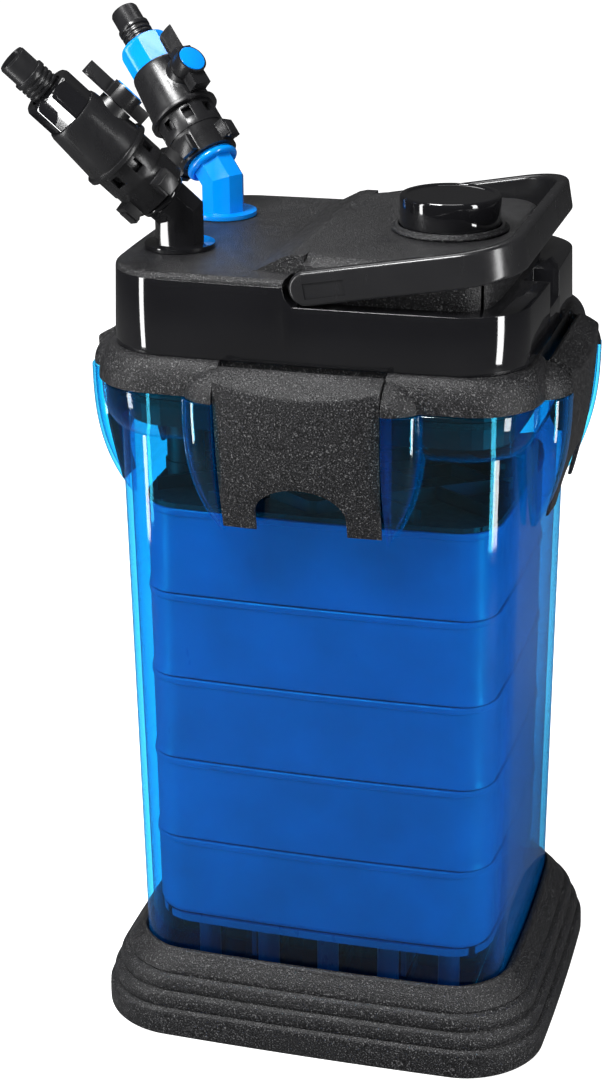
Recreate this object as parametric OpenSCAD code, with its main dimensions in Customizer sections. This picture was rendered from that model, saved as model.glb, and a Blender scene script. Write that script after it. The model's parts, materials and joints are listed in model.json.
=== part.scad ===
// External canister filter for an aquarium: base, clear canister with five media baskets,
// pump head with primer and carrying handle, four clips and two hose taps.
// Origin: centre of the underside. +X is the handle side, -Y the front, +Z up. Millimetres.

/* [Base] */
// Half width of the foot at the floor
base_x = 145; // [140:1:148]
// Half depth of the foot at the floor
base_y = 122; // [118:1:124]
// Height of the foot
base_h = 54; // [50:1:58]

/* [Canister] */
// Half width of the canister at its floor
can_x = 119; // [118.5:0.1:119.5]
// Half depth of the canister at its floor
can_y = 100; // [99.5:0.1:100.5]
// Wall thickness of the canister
can_wall = 4; // [3:0.5:5]
// Height of the canister rim
rim_z = 428; // [428:1:428]

/* [Baskets] */
// Height step from one basket to the next
basket_pitch = 55.6; // [54:0.1:56]
// Underside of the lowest basket
basket_z = 72.4; // [70:0.1:74]
// Wall thickness of a basket
basket_wall = 2; // [1.5:0.1:2.5]

/* [Head] */
// Bottom of the glossy head wall
head_z = 449; // [449:1:449]
// Height of the left part of the head
head_top = 498; // [496:1:500]
// Height of the deck that the handle folds into
deck_z = 483; // [482:1:483]
// Height of the raised middle block
block_top = 508.5; // [506:0.5:510]

/* [Handle] */
// Distance from the handle pivot to the outer face of the grip
handle_reach = 121; // [119:1:122]
// Height of the handle band
handle_h = 20; // [16:1:20]
// Angle of the handle above its folded position
handle_tilt = 10; // [0:1:80]

/* [Clips] */
// Half width of a clip
clip_w = 49; // [46:0.5:49]
// Thickness of the clip shell
clip_t = 4; // [3:0.5:4.5]

/* [Taps] */
// Compass direction of the inlet tap, from +X
inlet_turn = 210; // [190:1:225]
// Compass direction of the outlet tap, from +X
outlet_turn = 148; // [135:1:165]
// Outer radius of the hose nozzles
nozzle_r = 9; // [8:0.25:10]

/* [Hidden] */
$fn = 64;

bow = 3;                    // how far each long side bulges at its middle
gap = 0.4;                  // free space between bodies that move
run = 0.05;                 // radial clearance of a running fit
press = 0.02;               // radial clearance of a fixed pin
side_shift = 22;            // how much further out the side clips sit than the front ones

black = [0.07, 0.07, 0.08];
grain = [0.13, 0.13, 0.14];
clear_blue = [0.05, 0.4, 0.85, 0.6];
sky = [0.0, 0.55, 0.92];
dark_blue = [0.05, 0.15, 0.4];

can_floor = 12;             // height of the canister's underside
can_draft = 0.01;           // widening per millimetre of height
ledge_z = 408;              // underside of the ledge that a clip hooks under
ear_in = clip_w + 0.6;      // inner face of the ears and lobes beside a clip
ear_out = 72;

clip_pin_n = 115.5;         // distance of the front clip's pin from the middle plane
clip_pin_z = 437.5;
clip_pin_r = 1.5;

port_x = -93;               // both hose ports
port_y = 42.5;
port_r = 12;
bend_z = 519.5;             // height of the bend in each elbow

motor_x = -35;              // impeller axis
primer_x = 62;
primer_y = -3;
primer_r = 30;
primer_floor = 446;
primer_top = 529.5;

pivot_x = 1.5;              // handle pivot
pivot_z = 494;
arm_out = 105.5;
arm_t = 8;

// Stations along a tap, from the bend to the open end of the nozzle
st_collar = 17;
st_lip = 49.5;
st_barrel = 52;
st_nut = 86;
st_neck = 106.5;
st_nozzle = 117;
st_end = 133;
st_hub = 70;

// ---------- outlines and skins ----------

function lerp(p, q, t) = p + (q - p) * t;

// Rounded rectangle with bulging sides: half width, half depth, corner radius
function outline(hx, hy, r, n = 6, m = 4) =
    let (centres = [[hx - r, hy - r, 0], [r - hx, hy - r, 90],
                    [r - hx, r - hy, 180], [hx - r, r - hy, 270]],
         arcs = [for (c = centres) [for (i = [0:n]) let (a = c.z + 90 * i / n)
                 [c.x + r * cos(a), c.y + r * sin(a)]]],
         ring = [for (j = [0:3]) each concat(arcs[j],
                 [for (i = [1:m - 1]) lerp(arcs[j][n], arcs[(j + 1) % 4][0], i / m)])])
    [for (p = ring) [p.x * (1 - bow / hx * pow(p.y / hy, 2)),
                     p.y * (1 - bow / hy * pow(p.x / hx, 2))]];

// Skin through a stack of sections [z, half width, half depth, corner radius].
// A loop joins the last section back to the first, which leaves a tube wall.
module loft(sections, loop = false) {
    rings = [for (s = sections) [for (p = outline(s[1], s[2], s[3])) [p.x, p.y, s[0]]]];
    n = len(rings[0]);
    m = len(rings);
    sides = [for (j = [0:m - (loop ? 1 : 2)], i = [0:n - 1])
             let (k = (i + 1) % n, up = (j + 1) % m)
             each [[j * n + i, up * n + k, j * n + k], [j * n + i, up * n + i, up * n + k]]];
    caps = loop ? [] : [[for (i = [0:n - 1]) i], [for (i = [n - 1:-1:0]) (m - 1) * n + i]];
    polyhedron(points = [for (r = rings) each r], faces = concat(sides, caps), convexity = 10);
}

// Straight prism on the rounded outline
module slab(z0, z1, hx, hy, r) {
    translate([0, 0, z0]) linear_extrude(height = z1 - z0) polygon(outline(hx, hy, r));
}

// Round bar or bore along an axis
module rod(r, z0, z1, facets = $fn) {
    translate([0, 0, z0]) cylinder(r = r, h = z1 - z0, $fn = facets);
}

// Tube wall
module pipe(r_in, r_out, z0, z1) {
    difference() {
        rod(r_out, z0, z1);
        rod(r_in, z0 - 1, z1 + 1);
    }
}

module along_x(x0, x1, y, z, r) {
    translate([x0, y, z]) rotate([0, 90, 0]) cylinder(r = r, h = x1 - x0);
}

module along_y(y0, y1, x, z, r) {
    translate([x, y0, z]) rotate([-90, 0, 0]) cylinder(r = r, h = y1 - y0);
}

// Profile given as [distance out from the middle, height], drawn on the front, from x0 to x1
module front_profile(points, x0, x1) {
    translate([x0, 0, 0]) rotate([90, 0, 90]) linear_extrude(height = x1 - x0)
        polygon([for (p = points) [-p.x, p.y]]);
}

// Front view outline given as [x, z], from n0 to n1 out from the middle
module front_view(points, n0, n1) {
    translate([0, -n0, 0]) rotate([90, 0, 0]) linear_extrude(height = n1 - n0) polygon(points);
}

// Puts what is drawn on the front onto side 0 front, 1 right, 2 back or 3 left
module on_side(k) {
    rotate([0, 0, 90 * k]) translate([0, -(k % 2) * side_shift, 0]) children();
}

// ---------- base ----------

// Foot section at height z, drawn in by d on the front
function foot(z, d) = [z, base_x - 1.186 * d, base_y - d, 48 - 0.33 * d];

module base_foot() {
    h = base_h;
    color(grain) loft([foot(0, 1.2), foot(1.5, 0.2), foot(17.5, 0.6), foot(18.3, 2.8),
        foot(19.5, 2.6), foot(21, 1.6), foot(28, 3.2), foot(29, 6), foot(30.5, 5.2), foot(38.5, 7.2),
        foot(39.5, 10), foot(41, 9.4), foot(h - 2, 16.6), foot(h, 18.2),
        [h, can_x + 1.7, can_y + 1.7, 32], [can_floor, can_x + 1.6, can_y + 1.6, 34],
        [can_floor, can_x + 4.2, can_y + 4.2, 36], [h - 5, can_x + 7, can_y + 6.4, 42],
        foot(38, 13), foot(28, 9), foot(18, 5.4), foot(0, 4)], loop = true);
}

module base_plate() {
    color(black) difference() {
        union() {
            slab(0, 3, base_x - 5.2, base_y - 4.4, 46.4);
            intersection() {
                slab(2, can_floor, can_x - 6, can_y - 6, 26);
                union() {
                    for (x = [-90:45:90]) translate([x - 1.5, -base_y, 2]) cube([3, 2 * base_y, 12]);
                    for (y = [-70:70:70]) translate([-base_x, y - 1.5, 2]) cube([2 * base_x, 3, 12]);
                }
            }
        }
        for (x = [-1, 1], y = [-1, 1]) translate([x * 112, y * 90, 0]) rod(14.1, -1, 2);
    }
}

module rubber_feet() {
    color([0.1, 0.1, 0.1]) for (x = [-1, 1], y = [-1, 1])
        translate([x * 112, y * 90, 0]) difference() {
            rod(14, 0, 2);
            pipe(8, 10, -1, 0.8);
        }
}

// ---------- canister ----------

function can(z, grow = 0, r = 30) = [z, can_x + can_draft * z + grow, can_y + can_draft * z + grow, r];

module canister() {
    w = can_wall;
    color(clear_blue) {
        difference() {
            loft([can(can_floor, -2.5, 28), can(15, 0), can(399, 0), can(399.6, 1.2, 31),
                can(404, 5, 33), can(412, 8, 35), can(420, 9.2, 36), can(rim_z, 9.3, 36),
                can(rim_z, -w, 27), can(404, -w, 27), can(400, -w, 26), can(20, -w, 26),
                can(16, -w - 3, 24)]);
            for (k = [0:3]) on_side(k) translate([-32, -140, 394]) cube([64, 35.4, ledge_z - 394]);
        }
        for (k = [0:3]) on_side(k) {
            for (s = [-1, 1]) scale([s, 1, 1]) ear();
            ledge();
        }
    }
}

// Wedge that carries a lobe of the ring beside each clip
module ear() {
    intersection() {
        front_profile([[101, 342], [101, rim_z], [123.8, rim_z], [123.3, 408], [121.4, 390], [117.4, 372],
                       [111, 355], [104, 342]], ear_in, ear_out);
        front_view([[ear_in, rim_z], [ear_out, rim_z], [72, 408], [70.8, 392], [67, 374],
                    [61, 359], [53, 345], [ear_in, 344]], 100, 125);
    }
}

// Ledge that the clip's hook grips
module ledge() {
    front_profile([[103, ledge_z], [113, ledge_z], [113, 415], [103, 415]], -30, 30);
}

// ---------- baskets and media ----------

basket_x = can_x - can_wall - 3;
basket_y = can_y - can_wall - 3;
well_r = 15;                // wall of the well around the intake tube

module intake_well(r, z0, z1) {
    translate([port_x, -port_y, 0]) rod(r, z0, z1);
}

// Slots of a floor grid
module grid_slots(z0, z1) {
    for (x = [-96:16:96], y = [-1, 1])
        translate([x - 5, y < 0 ? -84 : 4, z0]) cube([10, 80, z1 - z0]);
}

module basket(i) {
    z = basket_z + i * basket_pitch;
    top = z + basket_pitch - 0.4;
    color(dark_blue) difference() {
        union() {
            difference() {
                union() {
                    slab(z, top, basket_x - 1.4, basket_y - 1.4, 24);
                    slab(top - 4, top, basket_x, basket_y, 25);
                }
                slab(z + 2, top + 1, basket_x - 1.4 - basket_wall, basket_y - 1.4 - basket_wall, 22);
                difference() {
                    grid_slots(z - 1, z + 3);
                    intake_well(well_r, z - 2, z + 4);
                }
            }
            intake_well(well_r, z, top);
        }
        intake_well(well_r - 2, z - 1, top + 1);
    }
}

module basket_stand() {
    top = basket_z - 0.2;
    color(black) difference() {
        union() {
            slab(top - 5, top, basket_x - 2, basket_y - 2, 24);
            for (x = [-80:40:80], y = [-60:60:60]) translate([x, y, 0]) rod(7, 16.2, top - 4, 24);
            for (s = [-1, 1]) translate([s * 50 - 1.5, -60, 30]) cube([3, 120, top - 32]);
        }
        difference() {
            grid_slots(top - 6, top + 1);
            for (x = [-80:40:80], y = [-60:60:60]) translate([x, y, 0]) rod(8.5, top - 7, top + 2, 24);
        }
        intake_well(well_r - 2, top - 6, top + 1);
    }
}

module basket_lid() {
    z = basket_z + 5 * basket_pitch;
    color(black) difference() {
        union() {
            slab(z, z + 3, basket_x - 1, basket_y - 1, 24);
            intersection() {
                slab(z, z + 12, basket_x - 6, basket_y - 6, 22);
                union() for (a = [-34, 34], d = [-72:36:72])
                    rotate([0, 0, a]) translate([-160, d - 1.25, z]) cube([320, 2.5, 11]);
            }
            for (x = [-1, 1]) translate([x * 96 - 7, -6, z]) cube([14, 12, 20]);
        }
        grid_slots(z - 1, z + 2.9);
        intake_well(well_r - 2, z - 1, z + 30);
        for (x = [-1, 1]) translate([x * 96 - 3, -7, z + 6]) cube([6, 14, 9]);
    }
}

// Block of media that fills a basket to a given height
module media(i, h, tint) {
    z = basket_z + i * basket_pitch + 2.1;
    color(tint) difference() {
        slab(z, z + h, basket_x - 4.4, basket_y - 4.4, 20);
        intake_well(well_r + 0.5, z - 1, z + h + 1);
    }
}

module coarse_sponge() {
    media(0, 46, [0.12, 0.13, 0.16]);
}

module carbon_media() {
    media(2, 38, [0.05, 0.05, 0.06]);
}

module fine_pad() {
    media(4, 40, [0.9, 0.92, 0.95]);
}

// Short tubes standing in rows
module ceramic_rings() {
    z = basket_z + basket_pitch + 2.1;
    color([0.85, 0.8, 0.75]) for (row = [0:1], x = [-92:16.7:92], y = [-68:17:70])
        if (norm([x - port_x, y + port_y]) > 27)
            translate([x, y, z + row * 20]) pipe(4, 7.8, 0, 19);
}

// Balls stacked in rows
module bio_media() {
    z = basket_z + 3 * basket_pitch + 2.1;
    color([0.1, 0.1, 0.12]) for (x = [-84:28:84], y = [-56:28:56])
        if (norm([x - port_x, y + port_y]) > 30)
            translate([x, y, z + 13]) sphere(r = 13, $fn = 32);
}

module intake_tube() {
    color(black) translate([port_x, -port_y, 0]) difference() {
        union() {
            rod(11.5, 40, 403.6);
            pipe(11, 12.6, 360, 366);
        }
        rod(9.5, 39, 405);
        for (a = [0:60:300]) rotate([0, 0, a]) translate([6, -2, 44]) cube([8, 4, 18]);
    }
}

// ---------- head ----------

module head_seal() {
    color([0.1, 0.1, 0.1]) difference() {
        slab(416, 420, can_x - 0.2, can_y - 0.2, 27);
        slab(415, 421, can_x - 3, can_y - 3, 25);
    }
}

module head_base() {
    color(black) difference() {
        union() {
            difference() {
                union() {
                    slab(404, rim_z, can_x - 1, can_y - 1, 26);
                    slab(rim_z + 0.4, rim_z + 4, can_x + 1, can_y + 1, 27);
                    slab(rim_z, rim_z + 0.4, can_x - 1, can_y - 1, 26);
                }
                difference() {
                    slab(415.9, 420.1, can_x + 5, can_y + 5, 30);
                    slab(415, 421, can_x - 3, can_y - 3, 25);
                }
                slab(408, rim_z + 5, can_x - 7, can_y - 7, 22);
            }
            translate([motor_x, 0, 0]) rod(30, 404, 429);
            translate([motor_x, 0, 0]) rod(15.5, 428, 470);
            for (s = [-1, 1]) translate([port_x, s * port_y, 0]) rod(15, 404, 477);
            hull() {
                translate([port_x, port_y, 0]) rod(12, 404, 428, 32);
                translate([motor_x, 18, 0]) rod(12, 404, 428, 32);
            }
        }
        translate([motor_x, 0, 0]) rod(26, 403, 424);
        translate([motor_x, 0, 0]) rod(12.4, 423, 466);
        translate([motor_x, 0, 0]) rod(2 + press, 465, 468.1);
        translate([port_x, -port_y, 0]) rod(10, 403, 466);
        translate([port_x, port_y, 0]) rod(10, 410, 466);
        for (s = [-1, 1]) translate([port_x, s * port_y, 0]) rod(port_r + run, 465, 478);
        hull() {
            translate([port_x, port_y, 0]) rod(7, 410, 422, 32);
            translate([motor_x, 16, 0]) rod(7, 410, 422, 32);
        }
    }
}

// Skirt of the head, with a lobe on each side of every clip
module head_ring() {
    z = rim_z + 0.4;
    color(grain) difference() {
        union() {
            loft([[z, 134, 114, 37], [434, 133.6, 113.6, 37], [440, 131.6, 111.6, 36],
                [445, 128.6, 108.6, 35.5], [head_z, 125.8, 105.8, 35],
                [head_z, can_x + 2, can_y + 2, 29], [z, can_x + 2, can_y + 2, 29]], loop = true);
            for (k = [0:3], s = [-1, 1]) on_side(k) scale([s, 1, 1]) lobe(z);
        }
        for (k = [0:3]) on_side(k) {
            translate([-ear_in, -140, z - 1]) cube([2 * ear_in, 140 - 103.5, head_z - z + 2]);
            along_x(-59, 59, -clip_pin_n, clip_pin_z, clip_pin_r + press);
        }
    }
}

module lobe(z) {
    dome = [for (t = [0:15:90]) [104 + 20 * cos(t), z + 18.4 * sin(t)]];
    cheek = [for (t = [0:18:90]) [60 + 12 * cos(t), z + 18.4 * sin(t)]];
    nose = [for (t = [0:15:90]) [62 + 10 * cos(t), -(112 + 12 * sin(t))]];
    intersection() {
        front_profile(concat([[102.5, z]], dome, [[102.5, z + 18.4]]), ear_in, ear_out);
        front_view(concat([[ear_in, z]], cheek, [[ear_in, z + 18.4]]), 100, 125);
        translate([0, 0, z - 1]) linear_extrude(height = 22)
            polygon(concat([[ear_in, -100], [ear_out, -100]], nose, [[ear_in, -124]]));
    }
}

// Space that the folding handle needs: the deck and a round step behind the pivot
module deck_cut() {
    difference() {
        union() {
            translate([pivot_x - 8, -140, deck_z]) cube([150, 280, 40]);
            along_y(-140, 140, pivot_x, pivot_z, 13.5);
        }
        translate([-140, -140, deck_z - 20]) cube([280, 280, 20]);
    }
}

module primer_hole(r) {
    translate([primer_x, primer_y, 0]) rod(r, 430, 540);
}

module head_housing() {
    wall_in = 4;
    color(black) difference() {
        loft([[head_z, 125.6, 105.6, 35], [494, 124.3, 104.3, 35]]);
        loft([[head_z - 1, 125.6 - wall_in, 105.6 - wall_in, 31],
            [deck_z - 4, 124.6 - wall_in, 104.6 - wall_in, 31]]);
        intersection() {
            slab(head_z, 490, 124.3 - wall_in, 104.3 - wall_in, 31);
            translate([-140, -140, head_z]) cube([121, 280, 60]);
        }
        deck_cut();
        translate([45, 0, 0]) slab(deck_z, 500, 60.05, 92.05, 18);
        primer_hole(primer_r + 3.6);
        for (s = [-1, 1]) translate([port_x, s * port_y, 0]) rod(15.2, 470, 500);
        for (s = [-1, 1], x = [-70, -30]) translate([x, s * 80, 0]) rod(2, 489, 495);
        translate([108, -15, 467]) cube([20, 30, 20]);
        along_y(90, 110, -60, 468, 8);
    }
    color(black) difference() {
        translate([107, -18, 462]) cube([14.6, 36, 17.1]);
        translate([109, -15, 467]) cube([14, 30, 14]);
    }
}

module head_cover() {
    color(grain) difference() {
        union() {
            difference() {
                loft([[494, 124.3, 104.3, 35], [496.5, 123.6, 103.6, 34.5],
                    [head_top, 121.6, 101.6, 33]]);
                deck_cut();
            }
            translate([45, 0, 0]) loft([[deck_z, 60, 92, 18], [504, 60, 92, 18],
                [506, 58.6, 89.4, 17], [block_top, 56, 86, 16]]);
            translate([0, 86, 0]) rotate([90, 0, 0]) linear_extrude(height = 172)
                polygon([[-33, head_top - 1], [-33, head_top], [-12, block_top - 0.4], [-6, block_top - 0.4],
                         [-6, head_top - 1]]);
            for (s = [-1, 1]) scale([1, s, 1]) along_y(88, 96.8, pivot_x, pivot_z, 8);
        }
        primer_hole(primer_r + 3.6);
        for (s = [-1, 1]) translate([port_x, s * port_y, 0]) rod(port_r + run, 480, 510);
        for (s = [-1, 1]) scale([1, s, 1]) along_y(76, 98, pivot_x, pivot_z, 3 + press);
        for (s = [-1, 1], x = [-70, -30]) translate([x, s * 80, 0]) rod(2, 493, 497);
        translate([0, 0, deck_z - 1]) linear_extrude(height = 21) translate([45, 0])
            polygon([[-54, -84], [54, -84], [54, 84], [-54, 84]]);
    }
}

module cover_screws() {
    color("silver") for (s = [-1, 1], x = [-70, -30]) translate([x, s * 80, 0]) difference() {
        union() {
            rod(1.9, 489, 496.8);
            rod(3.4, 486.6, 490);
        }
        rod(1.5, 486, 488.4, 6);
    }
}

// ---------- pump ----------

core_z = 452;

module motor_stator() {
    color([0.35, 0.36, 0.38]) translate([motor_x, 0, core_z]) difference() {
        translate([-24, -27, -9]) cube([66, 54, 18]);
        rod(16, -10, 10);
        translate([20, -14, -10]) cube([12, 28, 20]);
        translate([10, -5, -10]) cube([14, 10, 20]);
    }
}

module motor_coil() {
    color([0.72, 0.4, 0.15]) translate([motor_x + 37, 0, core_z]) difference() {
        translate([-11, -12, -15]) cube([22, 24, 30]);
        translate([-5.1, -13, -9.1]) cube([10.2, 26, 18.2]);
    }
}

module impeller_shaft() {
    color("white") translate([motor_x, 0, 0]) rod(2, 405, 468);
}

module impeller_rotor() {
    color([0.25, 0.25, 0.28]) translate([motor_x, 0, 0]) pipe(2 + run, 11.6, 428, 464);
}

module impeller_vanes() {
    color([0.15, 0.15, 0.6]) translate([motor_x, 0, 0]) difference() {
        union() {
            rod(11.6, 424.5, 428);
            rod(22, 421, 423);
            rod(7, 412, 425);
            for (a = [0:60:300]) rotate([0, 0, a]) translate([5, -1, 412.5]) cube([16, 2, 9]);
        }
        rod(2 + run, 411, 430);
    }
}

module impeller_cover() {
    color(black) translate([motor_x, 0, 0]) difference() {
        rod(25.9, 404, 407);
        pipe(5, 12, 403, 408);
        rod(2 + press, 405, 408);
    }
    color(black) for (a = [0:120:240]) translate([motor_x, 0, 0]) rotate([0, 0, a])
        translate([3, -1.5, 404]) cube([10, 3, 2]);
}

module primer_cylinder() {
    color(black) translate([primer_x, primer_y, 0]) difference() {
        rod(primer_r + 3.5, primer_floor, block_top);
        rod(primer_r + gap, primer_floor + 3, block_top + 1);
        for (s = [-1, 1]) translate([s * 9, 0, 0]) rod(4, primer_floor - 1, primer_floor + 4);
    }
}

module primer_collar() {
    color(grain) translate([primer_x, primer_y, 0]) difference() {
        union() {
            rod(34.6, block_top, block_top + 2);
            rod(33, block_top + 2, block_top + 3.6);
        }
        rod(primer_r + gap, block_top - 1, block_top + 5);
    }
}

module primer_button() {
    color(black) translate([primer_x, primer_y, 0]) rotate_extrude()
        polygon([[20.5, 497], [primer_r, 497], [primer_r, primer_top - 1.5], [primer_r - 1.5, primer_top],
            [primer_r - 3.6, primer_top], [primer_r - 4, primer_top - 0.8], [0, primer_top - 0.8],
            [0, primer_top - 4], [27, primer_top - 4], [27, 501], [20.5, 501]]);
}

// Coil spring that lifts the primer
module primer_spring() {
    turns = 5;
    steps = 18;
    sides = 6;
    wire = 1.1;
    coil_r = 17;
    z0 = primer_floor + 3 + wire + 0.3;
    z1 = primer_top - 4 - wire - 0.3;
    n = turns * steps;
    pts = [for (i = [0:n], j = [0:sides - 1])
           let (a = 360 * i / steps, b = 360 * j / sides, r = coil_r + wire * cos(b))
           [r * cos(a), r * sin(a), lerp(z0, z1, i / n) + wire * sin(b)]];
    walls = [for (i = [0:n - 1], j = [0:sides - 1]) let (k = (j + 1) % sides)
             each [[i * sides + j, (i + 1) * sides + j, (i + 1) * sides + k],
                   [i * sides + j, (i + 1) * sides + k, i * sides + k]]];
    ends = [[for (j = [0:sides - 1]) j], [for (j = [sides - 1:-1:0]) n * sides + j]];
    color("silver") translate([primer_x, primer_y, 0])
        polyhedron(points = pts, faces = concat(walls, ends), convexity = 10);
}

module check_valves() {
    color([0.6, 0.2, 0.15]) for (s = [-1, 1]) translate([primer_x + s * 9, primer_y, 0]) {
        rod(3.9, primer_floor - 1, primer_floor + 3);
        rod(6, s > 0 ? primer_floor + 3 : primer_floor - 2.5, s > 0 ? primer_floor + 4.5 : primer_floor - 1);
    }
}

module cable_gland() {
    color(black) translate([-60, 0, 468]) rotate([-90, 0, 0]) difference() {
        union() {
            rod(7.8, 98, 106);
            rod(13 / cos(30), 105.6, 112, 6);
            rod(9, 112, 122);
            pipe(5, 10.2, 114, 116);
            pipe(5, 10.2, 118, 120);
        }
        rod(3.6, 97, 123);
    }
}

// ---------- clips ----------

clip_low = 350;
clip_outer = [[110, 447.5], [112.5, 447.3], [123, 437], [123.8, 434.6], [123.4, 414], [122, 392], [118.6, 371],
              [114.2, 355], [112.8, clip_low]];
clip_inner = [[109.2, clip_low], [110.6, 356], [114.6, 372], [117.6, 391], [119, 412], [119, 428], [114, 429.5],
              [109.5, 431], [107.6, 436], [107.6, 443]];

// Clip drawn on the front: shell, hook and finger arch
module clip_body() {
    arch = [for (t = [0:15:180]) [27.5 * cos(t), 361 + 18 * sin(t)]];
    color(grain) difference() {
        union() {
            front_profile(concat(clip_outer, clip_inner), -clip_w, clip_w);
            front_profile([[120.5, 396], [120.5, 412], [115.6, 408], [115.6, ledge_z - gap],
                [107, ledge_z - gap], [107, 404], [111, 396]], -28, 28);
            for (x = [-38, -12, 12, 38]) front_profile([[120.5, 386], [120.5, 428], [116.5, 424], [116.5, 390]],
                x - 1, x + 1);
        }
        front_view(concat([[-27.5, clip_low - 1]], [for (i = [len(arch) - 1:-1:0]) arch[i]],
            [[27.5, clip_low - 1]]), 100, 130);
        along_x(-clip_w - 1, clip_w + 1, -clip_pin_n, clip_pin_z, clip_pin_r + run);
        for (s = [-1, 1]) front_view([[s * clip_w, 348], [s * (clip_w + 1), 348], [s * (clip_w + 1), 400],
            [s * (clip_w + 0.1), 400], [s * (clip_w - 1.5), 349.9]], 100, 130);
    }
}

module clip_front() {
    on_side(0) clip_body();
}

module clip_right() {
    on_side(1) clip_body();
}

module clip_back() {
    on_side(2) clip_body();
}

module clip_left() {
    on_side(3) clip_body();
}

module clip_pins() {
    color("silver") for (k = [0:3]) on_side(k) along_x(-58, 58, -clip_pin_n, clip_pin_z, clip_pin_r);
}

// ---------- handle ----------

module handle() {
    far_r = 35;
    arc = [for (t = [0:9:90]) t];
    outer = concat([[0, -arm_out]], [for (t = arc) [handle_reach - far_r + far_r * sin(t),
                -arm_out + far_r - far_r * cos(t)]],
            [for (t = arc) [handle_reach - far_r + far_r * cos(t), arm_out - far_r + far_r * sin(t)]],
            [[0, arm_out]]);
    in_r = far_r - arm_t;
    inner = concat([[0, arm_out - arm_t]], [for (t = arc) [handle_reach - far_r + in_r * sin(t),
                arm_out - far_r + in_r * cos(t)]],
            [for (t = arc) [handle_reach - far_r + in_r * cos(t), -arm_out + far_r - in_r * sin(t)]],
            [[0, -arm_out + arm_t]]);
    color(black) translate([pivot_x, 0, pivot_z]) rotate([0, -handle_tilt, 0]) difference() {
        union() {
            translate([0, 0, -handle_h / 2]) linear_extrude(height = handle_h)
                polygon(concat(outer, inner));
            for (s = [-1, 1]) scale([1, s, 1]) along_y(arm_out - arm_t, arm_out, 0, 0, handle_h / 2);
        }
        for (s = [-1, 1]) scale([1, s, 1]) {
            along_y(arm_out - arm_t - 1, arm_out - 2, 0, 0, 3 + run);
            translate([-2, arm_out - 0.6, -5]) cube([24, 2, 9]);
        }
    }
}

module handle_pins() {
    color("silver") for (s = [-1, 1]) scale([1, s, 1]) along_y(86, arm_out - 2.4, pivot_x, pivot_z, 3);
}

// ---------- taps ----------

// Places a tap drawn along +Z; side -1 is the inlet, +1 the outlet
module tap(side) {
    translate([port_x, side * port_y, bend_z]) rotate([0, 0, side < 0 ? inlet_turn : outlet_turn])
        rotate([0, 45, 0]) children();
}

// Octagonal pipe bend with a round flange, a spigot and a bead
module elbow(side, tint, flat_r, bead_r) {
    corner = flat_r / cos(22.5);
    color(tint) translate([port_x, side * port_y, bend_z])
        rotate([0, 0, side < 0 ? inlet_turn : outlet_turn]) difference() {
            union() {
                intersection() {
                    rotate([0, 0, 22.5]) rod(corner, head_top - bend_z + 2, 30, 8);
                    rotate([0, 22.5, 0]) translate([-40, -40, -80]) cube([80, 80, 80]);
                }
                intersection() {
                    rotate([0, 45, 0]) rotate([0, 0, 22.5]) rod(corner, -30, st_collar - 3, 8);
                    rotate([0, 22.5, 0]) translate([-40, -40, 0]) cube([80, 80, 80]);
                }
                rod(21, head_top + gap - bend_z, head_top + 3 - bend_z);
                rod(port_r, 466 - bend_z, head_top + 1 - bend_z);
                rotate([0, 45, 0]) {
                    rod(bead_r - 1.5, 12, 16.6);
                    translate([0, 0, 13.5]) rotate_extrude() translate([bead_r - 2.5, 0]) circle(r = 2.5);
                    rod(13.4, 13, 26);
                    rod(15.8, 20.4, 25);
                }
            }
            rod(9, 465 - bend_z, 0);
            sphere(r = 9.4);
            rotate([0, 45, 0]) rod(9, 0, 27);
            for (z = [471, 488]) translate([0, 0, z - bend_z]) pipe(port_r - 1.6, port_r + 1, 0, 2.2);
        }
}

// Two O-rings on the spigot of an elbow
module seal(side) {
    color([0.1, 0.1, 0.1]) translate([port_x, side * port_y, 0]) for (z = [471, 488])
        translate([0, 0, z + 1.1]) rotate_extrude() translate([port_r - 0.8, 0]) circle(r = 0.75);
}

// Locking collar with windows and grip lugs
module collar() {
    color(grain) difference() {
        union() {
            rod(18.8, st_collar, 34);
            rod(19.4, 34, st_lip - 0.4);
            for (a = [20:90:290]) rotate([0, 0, a]) {
                translate([16, -6, st_collar + 1.5]) cube([7.6, 12, 11]);
                translate([21, -4.5, st_collar + 0.5]) cube([3.4, 9, 9]);
            }
        }
        rod(16.4, st_collar + 3, st_lip + 1);
        rod(13.8, st_collar - 1, st_collar + 4);
        for (a = [0:45:315]) rotate([0, 0, a + 10]) translate([14, -3, st_lip - 10]) cube([8, 6, 7]);
    }
}

// Barrel that houses the ball, with its hub towards -X of the tap
module valve() {
    color(grain) difference() {
        union() {
            rod(16, 26, 51);
            rod(22.5, st_lip, st_barrel);
            rotate_extrude() polygon([[0, st_barrel - 0.1], [20.6, st_barrel - 0.1], [20.2, 56],
                [18, st_nut - 2], [17.4, st_nut], [0, st_nut]]);
            rod(10.95, st_nut - 1, 97);
            translate([0, 0, st_hub]) rotate([0, -90, 0]) rod(10.5, 10, 21.4);
        }
        rod(8.5, 25, 98);
        translate([0, 0, st_hub]) sphere(r = 12.9);
        translate([0, 0, st_hub]) rotate([0, -90, 0]) rod(4 + run, 5, 25);
    }
}

module ball() {
    color([0.75, 0.75, 0.78]) translate([0, 0, st_hub]) difference() {
        sphere(r = 12.5);
        rod(8, -20, 20);
        rotate([0, -90, 0]) rod(2, 8, 14);
    }
}

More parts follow.
